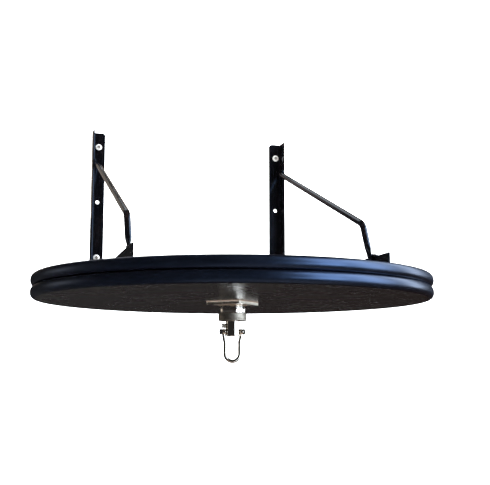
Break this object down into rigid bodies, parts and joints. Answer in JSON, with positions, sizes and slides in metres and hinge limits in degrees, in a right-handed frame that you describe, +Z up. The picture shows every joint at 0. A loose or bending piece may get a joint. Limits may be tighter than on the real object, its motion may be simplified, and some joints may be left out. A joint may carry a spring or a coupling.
{
  "type": "speed bag platform",
  "caption": "Wall-mounted speed bag platform: round two-ply board with beaded rim on angle-iron brackets, with a ball-bearing swivel and shackle.",
  "frame": {"origin": "on the wall plane, midway between the two uprights, level with the top of the board and the lower ends of the uprights", "axes": "+Y into the wall, +Z up along the uprights, +X to the right as seen from the front"},
  "size_m": [0.61, 0.6837, 0.4349],
  "materials": {
    "board": "semi-gloss charcoal laminate",
    "edge_trim": "glossy moulded black",
    "bracket_paint": "gloss black enamel",
    "weld_paint": "gloss black over weld",
    "zinc_screw": "bright zinc",
    "dark_screw": "tarnished steel",
    "swivel_chrome": "polished chrome",
    "plate_steel": "plated, dull",
    "turned_steel": "turned, dull",
    "bearing_steel": "polished steel"
  },
  "bodies": {
    "frame": {"upper_board": "board", "lower_board": "board", "upper_edge_trim": "edge_trim", "lower_edge_trim": "edge_trim", "right_upright": "bracket_paint", "right_arm": "bracket_paint", "right_brace": "bracket_paint", "right_brace_top_weld": "weld_paint", "right_brace_foot_weld": "weld_paint", "right_corner_weld": "weld_paint", "right_upper_wall_screw": "zinc_screw", "right_lower_wall_screw": "zinc_screw", "right_board_screw_1": "zinc_screw", "right_board_screw_2": "zinc_screw", "right_board_screw_3": "zinc_screw", "left_upright": "bracket_paint", "left_arm": "bracket_paint", "left_brace": "bracket_paint", "left_brace_top_weld": "weld_paint", "left_brace_foot_weld": "weld_paint", "left_corner_weld": "weld_paint", "left_upper_wall_screw": "zinc_screw", "left_lower_wall_screw": "zinc_screw", "left_board_screw_1": "zinc_screw", "left_board_screw_2": "zinc_screw", "left_board_screw_3": "zinc_screw", "swivel_plate_screw_1": "dark_screw", "swivel_plate_screw_2": "dark_screw", "swivel_plate_screw_3": "dark_screw", "swivel_plate_screw_4": "dark_screw", "swivel_plate": "plate_steel", "swivel_housing": "swivel_chrome", "swivel_retaining_ring": "turned_steel", "lower_bearing_race": "turned_steel"},
    "spindle": {"spindle": "swivel_chrome", "spindle_lock_screw": "turned_steel", "upper_bearing_race": "turned_steel"},
    "ball_cage": {"ball_cage": "turned_steel", "bearing_ball_1": "bearing_steel", "bearing_ball_2": "bearing_steel", "bearing_ball_3": "bearing_steel", "bearing_ball_4": "bearing_steel", "bearing_ball_5": "bearing_steel", "bearing_ball_6": "bearing_steel", "bearing_ball_7": "bearing_steel", "bearing_ball_8": "bearing_steel"},
    "shackle": {"shackle": "swivel_chrome", "shackle_pin": "dark_screw", "shackle_nut": "dark_screw"}
  },
  "joints": [
    {"name": "spindle_spin", "type": "hinge", "parent": "frame", "child": "spindle", "pos_m": [0, -0.34, -0.06], "axis": [0, 0, 1], "continuous": true},
    {"name": "ball_cage_spin", "type": "hinge", "parent": "frame", "child": "ball_cage", "pos_m": [0, -0.34, -0.05], "axis": [0, 0, 1], "continuous": true},
    {"name": "shackle_swing", "type": "hinge", "parent": "spindle", "child": "shackle", "pos_m": [0, -0.34, -0.082], "axis": [1, 0, 0], "range_deg": [-110, 110]}
  ],
  "couplings": [
    {"joint": "ball_cage_spin", "follows": "spindle_spin", "ratio": 0.5}
  ]
}
